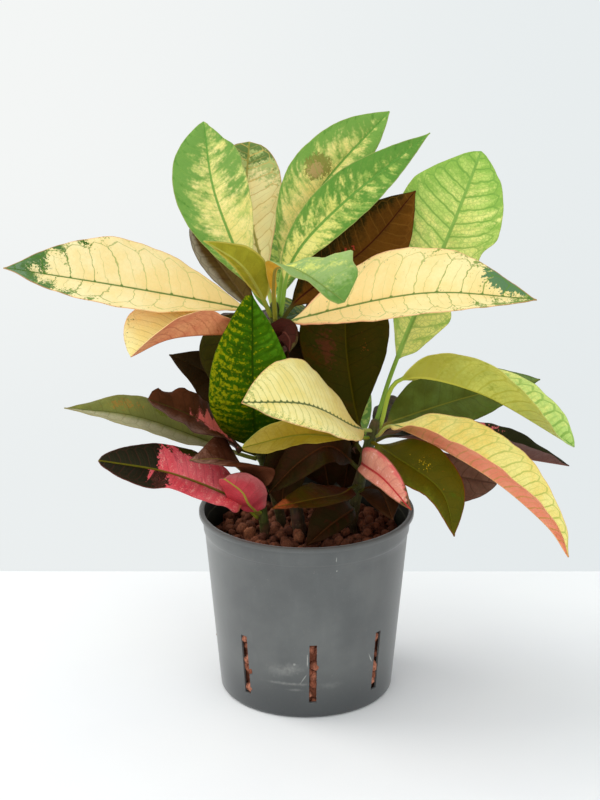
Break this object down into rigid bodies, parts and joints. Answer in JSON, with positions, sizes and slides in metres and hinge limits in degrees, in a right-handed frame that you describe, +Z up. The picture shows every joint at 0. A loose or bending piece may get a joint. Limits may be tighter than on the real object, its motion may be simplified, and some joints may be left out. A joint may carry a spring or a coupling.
{
  "type": "potted croton",
  "caption": "Croton house plant with broad variegated leaves on short stems, in a slitted grey plastic growing pot filled with clay pebbles.",
  "frame": {"origin": "centre of the pot's flat underside", "axes": "+Z up, -Y the front as pictured, +X the plant's right as seen from the front"},
  "size_m": [0.3346, 0.2046, 0.3529],
  "materials": {
    "pot_plastic": "grey moulded plastic, satin, lightly scuffed",
    "clay_pebbles": "rough fired clay, reddish brown",
    "stem_bark": "green-brown young bark, satin",
    "leaf_cream": "waxy leaf, butter yellow with green veins and blotches",
    "leaf_lime": "waxy leaf, fresh green with yellow veining",
    "leaf_bottle_green": "waxy leaf, deep green with yellow-green dashes",
    "leaf_olive": "waxy leaf, dark olive with small orange spots",
    "leaf_mahogany": "waxy leaf, maroon to near black with red blotches",
    "leaf_rose": "waxy leaf, pink with black blotches",
    "leaf_grey_green": "waxy leaf, grey-green"
  },
  "bodies": {
    "root": {"pot": "pot_plastic", "substrate": "clay_pebbles", "stem_tall": "stem_bark", "stem_right": "stem_bark", "stem_left": "stem_bark", "stem_shoot": "stem_bark", "leaf_tall_maroon": "leaf_mahogany", "leaf_tall_spotted_green": "leaf_olive", "leaf_tall_back_right": "leaf_bottle_green", "leaf_tall_coral": "leaf_cream", "leaf_tall_back_left": "leaf_olive", "leaf_tall_cream_right": "leaf_cream", "leaf_tall_grey_backed": "leaf_mahogany", "leaf_tall_mahogany": "leaf_mahogany", "leaf_tall_cream_left": "leaf_cream", "leaf_tall_back_high": "leaf_lime", "leaf_tall_turned": "leaf_lime", "leaf_tall_olive_backed": "leaf_olive", "leaf_tall_green_right": "leaf_lime", "leaf_tall_green_middle": "leaf_lime", "leaf_tall_butter": "leaf_cream", "leaf_tall_green_left": "leaf_lime", "leaf_inner_high": "leaf_mahogany", "leaf_inner_left": "leaf_mahogany", "leaf_inner_right": "leaf_mahogany", "leaf_inner_front_left": "leaf_mahogany", "leaf_inner_front_middle": "leaf_mahogany", "leaf_left_inner": "leaf_mahogany", "leaf_left_back": "leaf_grey_green", "leaf_left_maroon": "leaf_rose", "leaf_left_grey_green": "leaf_grey_green", "leaf_left_dark": "leaf_mahogany", "leaf_left_bottle_green": "leaf_bottle_green", "leaf_right_low_maroon": "leaf_mahogany", "leaf_right_low_brown": "leaf_mahogany", "leaf_right_low_arch": "leaf_mahogany", "leaf_right_inner": "leaf_mahogany", "leaf_right_back": "leaf_mahogany", "leaf_right_purple_low": "leaf_mahogany", "leaf_right_back_middle": "leaf_lime", "leaf_right_pink": "leaf_rose", "leaf_right_dark_middle": "leaf_olive", "leaf_right_purple_far": "leaf_mahogany", "leaf_right_olive": "leaf_olive", "leaf_right_ochre_backed": "leaf_olive", "leaf_right_grey_green": "leaf_grey_green", "leaf_right_coral": "leaf_cream", "leaf_right_cream": "leaf_cream", "leaf_right_lime_arch": "leaf_lime", "leaf_right_lime_high": "leaf_lime", "leaf_shoot_pink": "leaf_rose", "leaf_shoot_rose": "leaf_rose", "leaf_shoot_brown": "leaf_mahogany"}
  },
  "joints": []
}
